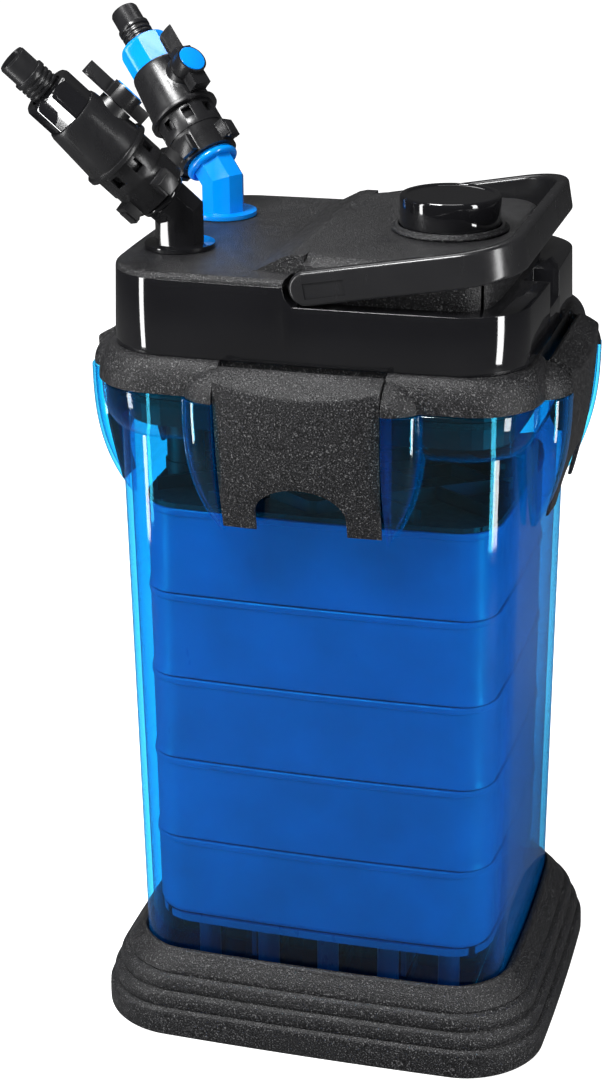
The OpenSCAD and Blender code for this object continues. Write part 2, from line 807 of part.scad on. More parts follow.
// Two armed lever on its stem
module lever() {
    color(grain) translate([0, 0, st_hub]) rotate([0, -90, 0]) difference() {
        union() {
            rod(4, 12.8, 24);
            rod(1.9, 8.2, 13);
            rod(9.8, 21.8, 32);
            translate([0, -6, 21.8]) cube([22, 12, 8.6]);
            translate([22, 0, 0]) rod(6, 21.8, 30.4);
            translate([-17, -6, 21.8]) cube([17, 12, 8]);
        }
        for (s = [-1, 1]) translate([12, s * 7.6, 24]) rotate([s * 24, 0, 0])
            translate([-1, -4, 0]) cube([20, 8, 12]);
        rod(8.6, 31.2, 33);
    }
}

module cap(tint) {
    color(tint) translate([0, 0, st_hub]) rotate([0, -90, 0]) rod(8.5, 31.3, 32.6);
}

// Eight sided hose nut
module nut(tint) {
    color(tint) difference() {
        union() {
            intersection() {
                rod(15.2 / cos(22.5), st_nut + gap, st_neck - gap, 8);
                rotate_extrude() polygon([[0, st_nut], [16.4, st_nut], [16.4, st_neck - 2], [15, st_neck],
                    [0, st_neck]]);
            }
            for (a = [0:45:315]) rotate([0, 0, a]) translate([15.6, 0, 0]) rod(0.9, st_nut + gap, st_neck - 3, 16);
        }
        rod(11, st_nut - 1, st_neck + 1);
    }
}

// Hose tail beyond the nut
module nozzle() {
    color(grain) difference() {
        union() {
            rod(10.95, 97, 104);
            rod(9.4, 103, st_nozzle);
            for (z = [107.5, 110.5, 113.5]) translate([0, 0, z]) rod(10.1, 0, 1.6);
            rod(10.3, st_nozzle, st_nozzle + 3);
            rod(nozzle_r, st_nozzle + 2, st_end - 1);
            rod(nozzle_r - 0.5, st_end - 2, st_end);
        }
        rod(7, 96, st_end + 1);
    }
}

module inlet_elbow() {
    elbow(-1, black, 13.5, 15.4);
}

module inlet_seal() {
    seal(-1);
}

module inlet_collar() {
    tap(-1) collar();
}

module inlet_valve() {
    tap(-1) valve();
}

module inlet_ball() {
    tap(-1) ball();
}

module inlet_lever() {
    tap(-1) lever();
}

module inlet_cap() {
    tap(-1) cap(sky);
}

module inlet_nut() {
    tap(-1) nut(black);
}

module inlet_nozzle() {
    tap(-1) nozzle();
}

module outlet_elbow() {
    elbow(1, sky, 12.6, 17);
}

module outlet_seal() {
    seal(1);
}

module outlet_collar() {
    tap(1) collar();
}

module outlet_valve() {
    tap(1) valve();
}

module outlet_ball() {
    tap(1) ball();
}

module outlet_lever() {
    tap(1) lever();
}

module outlet_cap() {
    tap(1) cap(sky);
}

module outlet_nut() {
    tap(1) nut(sky);
}

module outlet_nozzle() {
    tap(1) nozzle();
}

base_foot();
base_plate();
rubber_feet();
canister();
basket_stand();
basket(0);  // basket_1
basket(1);  // basket_2
basket(2);  // basket_3
basket(3);  // basket_4
basket(4);  // basket_5
basket_lid();
coarse_sponge();
ceramic_rings();
carbon_media();
bio_media();
fine_pad();
intake_tube();
head_seal();
head_base();
head_ring();
head_housing();
head_cover();
cover_screws();
motor_stator();
motor_coil();
impeller_shaft();
impeller_rotor();
impeller_vanes();
impeller_cover();
primer_cylinder();
primer_collar();
primer_button();
primer_spring();
check_valves();
cable_gland();
clip_front();
clip_right();
clip_back();
clip_left();
clip_pins();
handle();
handle_pins();
inlet_elbow();
inlet_seal();
inlet_collar();
inlet_valve();
inlet_ball();
inlet_lever();
inlet_cap();
inlet_nut();
inlet_nozzle();
outlet_elbow();
outlet_seal();
outlet_collar();
outlet_valve();
outlet_ball();
outlet_lever();
outlet_cap();
outlet_nut();
outlet_nozzle();
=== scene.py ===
import json
import math

import bmesh
import bpy
from mathutils import Matrix, Vector


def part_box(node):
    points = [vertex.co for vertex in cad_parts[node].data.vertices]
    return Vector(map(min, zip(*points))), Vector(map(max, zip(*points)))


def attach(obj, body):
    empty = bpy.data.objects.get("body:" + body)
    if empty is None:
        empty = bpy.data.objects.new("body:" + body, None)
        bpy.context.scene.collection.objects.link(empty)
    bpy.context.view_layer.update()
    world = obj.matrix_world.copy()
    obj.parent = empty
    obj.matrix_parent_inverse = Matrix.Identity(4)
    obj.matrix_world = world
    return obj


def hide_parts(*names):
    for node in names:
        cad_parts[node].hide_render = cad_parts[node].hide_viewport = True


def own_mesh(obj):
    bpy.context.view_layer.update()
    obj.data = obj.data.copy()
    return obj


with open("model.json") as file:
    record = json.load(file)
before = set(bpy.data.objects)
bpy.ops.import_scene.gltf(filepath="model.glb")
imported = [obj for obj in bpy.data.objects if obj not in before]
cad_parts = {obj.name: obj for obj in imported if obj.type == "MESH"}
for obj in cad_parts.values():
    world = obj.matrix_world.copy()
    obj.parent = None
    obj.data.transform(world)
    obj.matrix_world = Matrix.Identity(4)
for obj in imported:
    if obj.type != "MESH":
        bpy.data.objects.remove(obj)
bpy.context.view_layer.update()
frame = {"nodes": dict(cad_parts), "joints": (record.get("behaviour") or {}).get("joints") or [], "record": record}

MM = 0.001
NODES = frame["nodes"]
JOINTS = {j["name"]: j for j in frame["joints"]}
BODY_OF = {n: b for b, ns in frame["record"]["behaviour"]["bodies"].items() for n in ns}
SLOT_OF = {s["node"]: s["material_slot"] for s in frame["record"]["subparts"]}

# ---------------------------------------------------------------- materials


class Nodes:
    """A short way to write one material's node tree."""

    def __init__(self, name):
        self.mat = bpy.data.materials.new(name)
        self.mat.use_nodes = True
        self.tree = self.mat.node_tree
        self.shader = self.tree.nodes["Principled BSDF"]
        self.coord = self.new("ShaderNodeTexCoord").outputs["Object"]

    def new(self, kind, **values):
        node = self.tree.nodes.new(kind)
        for key, value in values.items():
            setattr(node, key, value)
        return node

    def link(self, a, b):
        self.tree.links.new(a, b)

    def noise(self, scale, detail=2.0, rough=0.5, stretch=None):
        node = self.new("ShaderNodeTexNoise")
        node.inputs["Scale"].default_value = scale
        node.inputs["Detail"].default_value = detail
        node.inputs["Roughness"].default_value = rough
        vector = self.coord
        if stretch:
            mapping = self.new("ShaderNodeMapping")
            mapping.inputs["Scale"].default_value = stretch
            self.link(vector, mapping.inputs["Vector"])
            vector = mapping.outputs["Vector"]
        self.link(vector, node.inputs["Vector"])
        return node.outputs["Fac"]

    def cells(self, scale):
        node = self.new("ShaderNodeTexVoronoi")
        node.inputs["Scale"].default_value = scale
        self.link(self.coord, node.inputs["Vector"])
        return node.outputs["Distance"]

    def ramp(self, fac, stops):
        node = self.new("ShaderNodeValToRGB")
        ramp = node.color_ramp
        while len(ramp.elements) < len(stops):
            ramp.elements.new(0.5)
        for element, (place, colour) in zip(ramp.elements, stops):
            element.position = place
            element.color = (*colour, 1.0)
        self.link(fac, node.inputs["Fac"])
        return node.outputs["Color"]

    def span(self, fac, low, high, start=0.3, end=0.7):
        node = self.new("ShaderNodeMapRange")
        for key, value in (("From Min", start), ("From Max", end), ("To Min", low), ("To Max", high)):
            node.inputs[key].default_value = value
        self.link(fac, node.inputs["Value"])
        return node.outputs["Result"]

    def math(self, operation, a, b):
        node = self.new("ShaderNodeMath", operation=operation)
        for socket, value in zip(node.inputs, (a, b)):
            if isinstance(value, bpy.types.NodeSocket):
                self.link(value, socket)
            else:
                socket.default_value = value
        return node.outputs["Value"]

    def sum(self, a, b):
        return self.math("ADD", a, b)

    def bump(self, height, strength, distance, after=None):
        node = self.new("ShaderNodeBump")
        node.inputs["Strength"].default_value = strength
        node.inputs["Distance"].default_value = distance
        self.link(height, node.inputs["Height"])
        if after:
            self.link(after, node.inputs["Normal"])
        return node.outputs["Normal"]

    def set(self, **values):
        for key, value in values.items():
            socket = self.shader.inputs[key.replace("_", " ")]
            if isinstance(value, bpy.types.NodeSocket):
                self.link(value, socket)
            elif isinstance(value, tuple):
                socket.default_value = (*value, 1.0)
            else:
                socket.default_value = value
        return self.mat


def shade(colour, k):
    return tuple(min(1.0, c * k) for c in colour)


def grained(name, colour, painted_glint, roughness, scale=950.0, depth=0.00028):
    """Moulded plastic with a spark-eroded grain: fine pits, random darker specks, and painted glints, bright
    specks of colour standing in for the light that the pits catch.
    """
    n = Nodes(name)
    fine = n.noise(scale, 2.0, 0.6)
    wide = n.noise(scale / 14, 3.0)
    # Painted glints: the lighter stops, the top one most, are bright specks of colour in place of light caught by
    # the pits. The darkest stop gives random darker specks.
    grain_and_glint = n.ramp(fine, [(0.38, shade(colour, 0.35)), (0.50, colour), (0.60, shade(colour, 2.2)),
                          (0.70, painted_glint)])
    worn = n.span(wide, roughness - 0.06, roughness + 0.08)
    pits = n.bump(fine, 0.9, depth)
    return n.set(Base_Color=grain_and_glint, Roughness=worn, Normal=n.bump(wide, 0.12, 0.0006, pits),
                 Specular_IOR_Level=0.32)


def moulded(name, colour, roughness, coat=0.0, ripple=0.04, grain=0.0, grain_scale=2200.0, vary=0.12):
    """Smooth moulded plastic: slight flow marks, a little colour drift and faint handling haze."""
    n = Nodes(name)
    drift = n.noise(22.0, 3.0)
    haze = n.noise(130.0, 5.0, 0.65, stretch=(1.0, 1.0, 0.35))
    tint = n.ramp(drift, [(0.3, shade(colour, 1 - vary)), (0.7, shade(colour, 1 + vary))])
    flow = n.bump(n.noise(35.0, 2.0), ripple, 0.0008)
    skin = n.bump(n.noise(grain_scale, 2.0), grain, 0.00012, flow) if grain else flow
    return n.set(Base_Color=tint, Roughness=n.span(haze, roughness * 0.8, roughness * 1.35), Normal=skin,
                 Coat_Weight=coat, Coat_Roughness=0.04)


def metal(name, colour, roughness, stretch=(1.0, 1.0, 30.0)):
    """Drawn or turned metal with fine lines along it."""
    n = Nodes(name)
    lines = n.noise(900.0, 3.0, 0.6, stretch=stretch)
    tint = n.ramp(lines, [(0.3, shade(colour, 0.85)), (0.7, shade(colour, 1.1))])
    return n.set(Base_Color=tint, Metallic=1.0, Roughness=n.span(lines, roughness, roughness + 0.15),
                 Normal=n.bump(lines, 0.15, 0.00008))


def porous(name, colour, scale, depth, roughness=0.9, sheen=0.0):
    """Open foam, granules or fibre: cells of colour with deep relief."""
    n = Nodes(name)
    cell = n.cells(scale)
    fuzz = n.noise(scale * 2.2, 3.0, 0.7)
    tint = n.ramp(cell, [(0.05, shade(colour, 1.25)), (0.35, colour), (0.75, shade(colour, 0.3))])
    relief = n.bump(cell, 0.9, depth)
    return n.set(Base_Color=tint, Roughness=roughness, Normal=n.bump(fuzz, 0.5, depth * 0.4, relief),
                 Sheen_Weight=sheen)


def clear_plastic(name, face, edge):
    """Tinted clear plastic seen as a thin skin: light goes straight through and takes the tint. Where
    the wall is seen edge on the tint deepens, a little light scatters and the surface mirrors more."""
    n = Nodes(name)
    flow = n.bump(n.noise(16.0, 2.0), 0.05, 0.0015)
    weight = n.new("ShaderNodeLayerWeight")
    weight.inputs["Blend"].default_value = 0.5
    n.link(flow, weight.inputs["Normal"])
    facing = weight.outputs["Facing"]
    drift = n.noise(9.0, 2.0)
    tint = n.ramp(n.sum(facing, n.span(drift, -0.03, 0.03)), [(0.40, face), (0.99, edge)])
    through = n.new("ShaderNodeBsdfTransparent")
    n.link(tint, through.inputs["Color"])
    gloss = n.new("ShaderNodeBsdfGlossy")
    gloss.inputs["Color"].default_value = (0.9, 0.97, 1.0, 1.0)
    n.link(n.span(n.noise(90.0, 4.0, 0.6), 0.03, 0.09), gloss.inputs["Roughness"])
    n.link(flow, gloss.inputs["Normal"])
    mirror = n.span(n.math("POWER", facing, 4.5), 0.045, 0.85, 0.0, 1.0)
    haze = n.new("ShaderNodeBsdfDiffuse")
    haze.inputs["Color"].default_value = (0.0, 0.20, 0.72, 1.0)
    body = n.new("ShaderNodeMixShader")
    n.link(n.span(n.math("POWER", facing, 3.5), 0.0, 0.34, 0.0, 1.0), body.inputs["Fac"])
    n.link(through.outputs["BSDF"], body.inputs[1])
    n.link(haze.outputs["BSDF"], body.inputs[2])
    mix = n.new("ShaderNodeMixShader")
    n.link(mirror, mix.inputs["Fac"])
    n.link(body.outputs["Shader"], mix.inputs[1])
    n.link(gloss.outputs["BSDF"], mix.inputs[2])
    n.link(mix.outputs["Shader"], n.tree.nodes["Material Output"].inputs["Surface"])
    n.tree.nodes.remove(n.shader)
    return n.mat


MATERIALS = {
    "clear_blue": clear_plastic("clear_blue", (0.30, 0.85, 1.0), (0.12, 0.70, 1.0)),
    "grain_black": grained("grain_black", (0.010, 0.010, 0.011), (0.13, 0.13, 0.13), 0.38,
                           scale=1050.0, depth=0.0007),
    "tap_black": moulded("tap_black", (0.010, 0.010, 0.011), 0.27, grain=0.2, ripple=0.05),
    "gloss_black": moulded("gloss_black", (0.006, 0.006, 0.007), 0.06, coat=0.6, ripple=0.02),
    "satin_black": moulded("satin_black", (0.012, 0.012, 0.013), 0.22, grain=0.12, ripple=0.04),
    "dark_plastic": moulded("dark_plastic", (0.012, 0.014, 0.018), 0.42, grain=0.3),
    "basket_blue": moulded("basket_blue", (0.012, 0.125, 0.34), 0.34, ripple=0.05),
    "sky_blue": moulded("sky_blue", (0.0, 0.235, 0.80), 0.16, coat=0.35, ripple=0.03),
    "rubber": grained("rubber", (0.02, 0.02, 0.02), (0.06, 0.06, 0.06), 0.72, 1600.0, 0.0001),
    "sponge": porous("sponge", (0.05, 0.055, 0.07), 420.0, 0.0012),
    "ceramic": grained("ceramic", (0.62, 0.56, 0.48), (0.8, 0.76, 0.7), 0.85, 1200.0, 0.0003),
    "carbon": porous("carbon", (0.03, 0.03, 0.032), 300.0, 0.0014, 0.6),
    "bio_plastic": moulded("bio_plastic", (0.03, 0.035, 0.05), 0.5, grain=0.3),
    "floss": porous("floss", (0.85, 0.88, 0.92), 700.0, 0.0006, 0.95, sheen=0.3),
    "steel": metal("steel", (0.60, 0.60, 0.62), 0.22),
    "shaft_ceramic": moulded("shaft_ceramic", (0.85, 0.85, 0.82), 0.12, vary=0.05),
    "laminations": metal("laminations", (0.16, 0.17, 0.19), 0.4, (1.0, 1.0, 60.0)),
    "copper": metal("copper", (0.55, 0.22, 0.08), 0.3, (1.0, 40.0, 1.0)),
    "magnet": grained("magnet", (0.06, 0.06, 0.07), (0.14, 0.14, 0.15), 0.5, 1500.0, 0.0001),
    "impeller_plastic": moulded("impeller_plastic", (0.03, 0.05, 0.32), 0.35),
    "ball_plastic": moulded("ball_plastic", (0.5, 0.5, 0.52), 0.2, vary=0.06),
}

STAND_BLUE = moulded("stand_blue", (0.01, 0.09, 0.24), 0.3)

for node_name, node in NODES.items():
    node.data.materials.clear()
    node.data.materials.append(STAND_BLUE if node_name == "basket_stand"
                               else MATERIALS[SLOT_OF[node_name]])

# ---------------------------------------------------------------- mesh tools


def link_object(name, data):
    """A new object in the scene, with a mesh, a light or a camera as its data."""
    obj = bpy.data.objects.new(name, data)
    bpy.context.scene.collection.objects.link(obj)
    return obj


def finish_piece(obj, node, smooth_angle):
    """Shades a piece, gives it its node's material and slot, and lets it stand for the node."""
    obj.data.shade_smooth()
    obj.data.set_sharp_from_angle(angle=math.radians(smooth_angle))
    obj.data.materials.clear()
    obj.data.materials.append(MATERIALS[SLOT_OF[node]])
    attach(obj, BODY_OF[node])
    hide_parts(node)
    return obj


def mesh_object(name, verts, faces):
    """A closed mesh object from points in millimetres."""
    mesh = bpy.data.meshes.new(name)
    mesh.from_pydata([(x * MM, y * MM, z * MM) for x, y, z in verts], [], faces)
    bm = bmesh.new()
    bm.from_mesh(mesh)
    bmesh.ops.recalc_face_normals(bm, faces=bm.faces)
    bm.to_mesh(mesh)
    bm.free()
    return link_object(name, mesh)


def apply_modifiers(obj):
    """Bakes an object's modifiers into its mesh."""
    bpy.context.view_layer.update()
    evaluated = obj.evaluated_get(bpy.context.evaluated_depsgraph_get())
    mesh = bpy.data.meshes.new_from_object(evaluated)
    old = obj.data
    obj.modifiers.clear()
    obj.data = mesh
    bpy.data.meshes.remove(old)


def boolean(obj, tools, operation):
    """Joins tools to obj or cuts them out of it, then removes them."""
    for tool in tools:
        modifier = obj.modifiers.new("cut", "BOOLEAN")
        modifier.operation = operation
        modifier.solver = "EXACT"
        modifier.object = tool
        apply_modifiers(obj)
        bpy.data.objects.remove(tool)
    return obj


def rounded(obj, width, segments=3, angle=30.0):
    """Rounds every edge sharper than the angle."""
    bevel = obj.modifiers.new("round", "BEVEL")
    bevel.width = width * MM
    bevel.segments = segments
    bevel.limit_method = "ANGLE"
    bevel.angle_limit = math.radians(angle)
    bevel.use_clamp_overlap = True
    bevel.miter_outer = "MITER_ARC"
    apply_modifiers(obj)
    return obj


def outline(hx, hy, r, arc=14, side=16, bow=3.0):
    """Rounded rectangle, drawn in by up to bow towards its corners, so that its sides bulge."""
    corners = [(hx - r, hy - r, 0), (r - hx, hy - r, 90),
               (r - hx, r - hy, 180), (hx - r, r - hy, 270)]
    arcs = []
    for cx, cy, start in corners:
        angles = [math.radians(start + 90 * i / arc) for i in range(arc + 1)]
        arcs.append([(cx + r * math.cos(a), cy + r * math.sin(a)) for a in angles])
    ring = []
    for j in range(4):
        (x0, y0), (x1, y1) = arcs[j][-1], arcs[(j + 1) % 4][0]
        ring += arcs[j]
        ring += [(x0 + (x1 - x0) * i / side, y0 + (y1 - y0) * i / side) for i in range(1, side)]
    return [(x * (1 - bow / hx * (y / hy) ** 2), y * (1 - bow / hy * (x / hx) ** 2))
            for x, y in ring]


def skin(name, rings, loop=False):
    """Skin through rings of points, closed by two caps or by joining the last ring to the first."""
    count = len(rings[0])
    verts = [p for ring in rings for p in ring]
    faces = []
    for j in range(len(rings) - (0 if loop else 1)):
        up = (j + 1) % len(rings)
        for i in range(count):
            k = (i + 1) % count
            faces.append((j * count + i, j * count + k, up * count + k, up * count + i))
    if not loop:
        faces.append(tuple(range(count))[::-1])
        faces.append(tuple((len(rings) - 1) * count + i for i in range(count)))
    return mesh_object(name, verts, faces)


def loft(name, sections, loop=False, at=(0.0, 0.0), **detail):
    """Skin through sections (z, half width, half depth, corner radius)."""
    return skin(name, [[(x + at[0], y + at[1], z) for x, y in outline(hx, hy, r, **detail)]
                       for z, hx, hy, r in sections], loop)


def prism(name, points, place, depth0, depth1):
    """Straight prism: place(u, v, d) sets a profile point at a depth."""
    return skin(name, [[place(u, v, d) for u, v in points] for d in (depth0, depth1)])


# Where a profile point (u, v) at depth d lies when a prism runs along each axis.
ALONG = {"z": lambda u, v, d: (u, v, d), "y": lambda u, v, d: (u, d, v),
         "x": lambda u, v, d: (d, u, v)}


def block(name, low, high):
    """Box between two corners."""
    (x0, y0, z0), (x1, y1, z1) = low, high
    return prism(name, [(x0, y0), (x1, y0), (x1, y1), (x0, y1)], ALONG["z"], z0, z1)


def cylinder(name, radius, low, high, axis="z", centre=(0.0, 0.0), sides=64):
    """Cylinder along an axis; centre is its other two coordinates in x, y, z order."""
    turn = [2 * math.pi * i / sides for i in range(sides)]
    ring = [(centre[0] + radius * math.cos(a), centre[1] + radius * math.sin(a)) for a in turn]
    return prism(name, ring, ALONG[axis], low, high)


def lathe(name, profile, centre, sides=128):
    """Turned piece from a closed profile of (radius, height) points that stays off the axis."""
    rings = []
    for i in range(sides):
        a = 2 * math.pi * i / sides
        rings.append([(centre[0] + r * math.cos(a), centre[1] + r * math.sin(a), z)
                      for r, z in profile])
    return skin(name, rings, loop=True)


SAME_POINT = 0.00002
FLAT_ANGLE = math.radians(0.6)


def soften(node, width, segments=2, smooth_angle=32.0):
    """A copy of a CAD node with its edges rounded, which stands for the node."""
    obj = link_object(f"{node}_moulded", NODES[node].data.copy())
    bm = bmesh.new()
    bm.from_mesh(obj.data)
    bmesh.ops.remove_doubles(bm, verts=bm.verts, dist=SAME_POINT)
    bmesh.ops.dissolve_limit(bm, angle_limit=FLAT_ANGLE, verts=bm.verts, edges=bm.edges)
    bmesh.ops.recalc_face_normals(bm, faces=bm.faces)
    bm.to_mesh(obj.data)
    bm.free()
    rounded(obj, width, segments)
    return finish_piece(obj, node, smooth_angle)


def turned_side(obj, k):
    """Turns a piece drawn on the front to side k: 0 front, 1 right, 2 back, 3 left.
    The right and left sides stand further out by SIDE_SHIFT."""
    shift = Matrix.Translation((0.0, -SIDE_SHIFT * MM * (k % 2), 0.0))
    obj.data.transform(Matrix.Rotation(math.radians(90 * k), 4, "Z") @ shift)
    return obj


def evenly(low, high, count):
    """Evenly spaced values from low to high."""
    return [low + (high - low) * i / (count - 1) for i in range(count)]


# ---------------------------------------------------------------- dimensions of the frame, in mm

BASE_X, BASE_Y, BASE_H = 145.0, 122.0, 54.0
CAN_X, CAN_Y, CAN_DRAFT, CAN_WALL = 119.0, 100.0, 0.01, 4.0
CAN_FLOOR, RIM_Z = 12.0, 428.0
RING_Z, HEAD_Z, HEAD_TOP, DECK_Z = 428.4, 449.0, 498.0, 483.0
SIDE_SHIFT = 22.0
EAR_IN = 49.6
PIVOT = Vector(JOINTS["handle_swing"]["pos_m"]) / MM
BLOCK_X, BLOCK_HX, BLOCK_TOP = 45.0, 60.0, 508.5
PRIMER, PRIMER_R, PRIMER_BORE = (62.0, -3.0), 30.0, 33.6
CLIP_HALF, CLIP_LOW = 49.0, 350.0
PORTS = [(-93.0, -42.5), (-93.0, 42.5)]

# ---------------------------------------------------------------- base foot


def foot(z, inset):
    """Section of the base at a height, drawn in from its widest by an inset."""
    return z, BASE_X - 1.186 * inset, BASE_Y - inset, 48 - 0.33 * inset


def arc_between(p, q, bulge, count=5):
    """Points from p to q on a shallow arc that swells outwards by bulge."""
    (z0, d0), (z1, d1) = p, q
    points = []
    for i in range(count):
        t = i / (count - 1)
        points.append((z0 + (z1 - z0) * t, d0 + (d1 - d0) * t - bulge * 4 * t * (1 - t)))
    return points


# The outside as (height, inset): a plain plinth, two beads and a sloping shoulder, with grooves
# between them.
plinth = (arc_between((0.0, 1.4), (2.0, 0.1), 0.3, 4) + arc_between((3.0, 0.0), (15.5, 0.3), 0.1, 4)
          + arc_between((16.6, 0.6), (18.6, 2.3), 0.35, 4) + [(19.0, 3.0), (19.6, 3.1)])
low_bead = (arc_between((20.2, 2.6), (26.6, 3.2), 0.5, 6)
            + arc_between((27.4, 3.6), (29.2, 5.6), 0.4, 4) + [(29.6, 6.2), (30.2, 6.3)])
high_bead = (arc_between((30.8, 5.7), (37.2, 6.8), 0.5, 6)
             + arc_between((38.0, 7.2), (39.6, 9.2), 0.4, 4) + [(40.0, 9.9), (40.6, 10.0)])
shoulder = (arc_between((41.3, 9.7), (51.4, 15.8), 0.5, 7)
            + arc_between((52.2, 16.3), (54.0, 17.9), 0.35, 4))
outside = [foot(z, inset) for z, inset in plinth + low_bead + high_bead + shoulder]
inside = [(BASE_H + 0.2, CAN_X + 2.6, CAN_Y + 2.6, 33), (BASE_H - 0.6, CAN_X + 1.7, CAN_Y + 1.7, 32),
          (CAN_FLOOR, CAN_X + 1.6, CAN_Y + 1.6, 34), (CAN_FLOOR, CAN_X + 4.2, CAN_Y + 4.2, 36),
          (BASE_H - 5, CAN_X + 7, CAN_Y + 6.4, 42),
          foot(38, 13), foot(28, 9), foot(18, 5.4), foot(0, 4)]
finish_piece(loft("base_foot_moulded", outside + inside, loop=True, arc=20), "base_foot", 50)

# ---------------------------------------------------------------- canister with ears

# An ear grows from its tip to the rim: (at the tip, gained by the rim) for its width across the
# side and for how far out its face stands from the middle plane.
EAR_TIP, EAR_WALL, EAR_LEAST = 344.0, 2.2, 0.5
EAR_ACROSS, EAR_FACE = (1.2, 21.2), (104.5, 19.3)


def can(z, grow=0.0, r=30.0):
    """Section of the canister at a height, grown outwards, with its corner radius."""
    return z, CAN_X + CAN_DRAFT * z + grow, CAN_Y + CAN_DRAFT * z + grow, r


def ear(name, inset):
    """Full, round-bottomed pocket beside a clip, from its tip up to the rim, drawn on the front
    right. With an inset it is the hollow inside, which goes on through the rim."""
    tip = EAR_TIP + inset
    back = 105.0 if inset else 101.5
    levels = [tip + (RIM_Z - tip) * t ** 1.6 for t in evenly(0.0, 1.0, 24)]
    levels += [RIM_Z + 1.0] if inset else []
    bend = [math.radians(a) for a in range(0, 91, 9)]
    x0 = EAR_IN + inset
    rings = []
    for z in levels:
        s = min(1.0, (z - tip) / (RIM_Z - tip))
        across = max(EAR_LEAST, EAR_ACROSS[0] + EAR_ACROSS[1] * (1 - (1 - s) ** 3.0) - 2 * inset)
        out = max(EAR_LEAST, EAR_FACE[0] + EAR_FACE[1] * (1 - (1 - s) ** 2.6) - inset - back)
        ring = [(x0 + across, back - 0.2)]
        ring += [(x0 + across * math.cos(a) ** 0.7, back + out * math.sin(a) ** 0.7)
                 for a in bend[:-1]]
        ring += [(x0, back + out), (x0, back - 0.2)]
        rings.append([(x, -n, z) for x, n in ring])
    return skin(name, rings)


def mirrored(obj):
    """Turns a right-hand piece into a left-hand one."""
    obj.data.transform(Matrix.Scale(-1, 4, (1, 0, 0)))
    obj.data.flip_normals()
    return obj


def on_all_sides(make):
    """Eight copies of a piece drawn on the front right: both sides of every clip."""
    pieces = []
    for k in range(4):
        pieces += [turned_side(make(), k), turned_side(mirrored(make()), k)]
    return pieces


wall = [can(CAN_FLOOR, -4.0, 26), can(12.6, -2.0, 28), can(14.4, -0.5, 29.5), can(17), can(120),
        can(260), can(398.6)]
flare = [can(399.2, 0.5, 30.5), can(399.8, 1.4, 31), can(401.5, 3.2, 32), can(404, 5.0, 33),
         can(408, 6.9, 34), can(412, 8.1, 35), can(417, 8.9, 35.6), can(422, 9.2, 36),
         can(427.2, 9.3, 36), can(RIM_Z, 8.7, 35.5)]
bore = [can(RIM_Z, -CAN_WALL + 0.6, 27.4), can(427.2, -CAN_WALL, 27), can(404, -CAN_WALL, 27),
        can(400, -CAN_WALL, 26), can(20, -CAN_WALL, 26), can(16.6, -CAN_WALL - 1.5, 25),
        can(16, -CAN_WALL - 4.5, 23)]
canister = loft("canister_moulded", wall + flare + bore, arc=20, side=20)
boolean(canister, on_all_sides(lambda: ear("ear", 0.0)), "UNION")
boolean(canister, on_all_sides(lambda: ear("pocket", EAR_WALL)), "DIFFERENCE")
finish_piece(canister, "canister", 38)

# ---------------------------------------------------------------- baskets

BASKET_X, BASKET_Y = CAN_X - CAN_WALL - 3, CAN_Y - CAN_WALL - 3
WELL, WELL_R, WELL_BORE = PORTS[0], 15.0, 13.0
BOTTOM_TUCK, TUCK = 6.0, 2.2


def basket(node, tuck):
    """Open cup with a rim and a foot that tucks in, with a well for the tube that passes it."""
    low, high = (corner.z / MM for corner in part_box(node))
    outer = [(low, tuck, 18), (low + 0.6, tuck * 0.62, 19), (low + 2.0, tuck * 0.35 + 0.5, 20.5),
             (low + 5.0, 1.6, 21.5), (high - 6.0, 1.1, 23), (high - 4.4, 1.0, 23.5),
             (high - 3.7, 0.2, 24.5), (high - 2.4, 0.0, 25), (high - 0.5, 0.1, 25), (high, 0.6, 24.5)]
    inner = [(high, 2.4, 23), (high - 6, 2.8, 22.5), (low + 6, 4.0, 20), (low + 3.4, 5.0, 19),
             (low + 2.6, 7.0, 17)]
    sections = [(z, BASKET_X - inset, BASKET_Y - inset, r) for z, inset, r in outer + inner]
    obj = loft(f"{node}_moulded", sections)
    well = cylinder("well", WELL_R, low + 0.3, high - 0.5, centre=WELL, sides=40)
    boolean(obj, [well], "UNION")
    bore = cylinder("bore", WELL_BORE, low - 5, high + 5, centre=WELL, sides=40)
    boolean(obj, [bore], "DIFFERENCE")
    return obj


for i in range(5):
    node = f"basket_{i + 1}"
    finish_piece(basket(node, TUCK if i else BOTTOM_TUCK), node, 40)

# ---------------------------------------------------------------- skirt ring with lobes

RING_H, RING_BORE = 20.6, (CAN_X + 2, CAN_Y + 2, 29)
HEAD_X, HEAD_Y, HEAD_R = 125.6, 105.6, 35
SKIRT_OUT = 8.6
LOBE_RADII = (22.5, 20.0, 18.2)


def ellipsoid(name, centre, radii):
    """Smooth solid with three radii."""
    bm = bmesh.new()
    bmesh.ops.create_uvsphere(bm, u_segments=64, v_segments=40, radius=1.0)
    mesh = bpy.data.meshes.new(name)
    bm.to_mesh(mesh)
    bm.free()
    size = Matrix.Diagonal((*(r * MM for r in radii), 1.0))
    mesh.transform(Matrix.Translation(Vector(centre) * MM) @ size)
    return link_object(name, mesh)


def bulge(z):
    """How far the skirt stands out from the head wall at a height."""
    t = min(1.0, max(0.0, (z - RING_Z) / (HEAD_Z - RING_Z)))
    return SKIRT_OUT * math.sqrt(1 - t ** 2.2)


def clip_recess(k):
    """The gap in the ring that the clip on side k stands in."""
    return turned_side(block("recess", (-EAR_IN, -150, RING_Z - 3), (EAR_IN, -103.5, HEAD_Z + 3)), k)


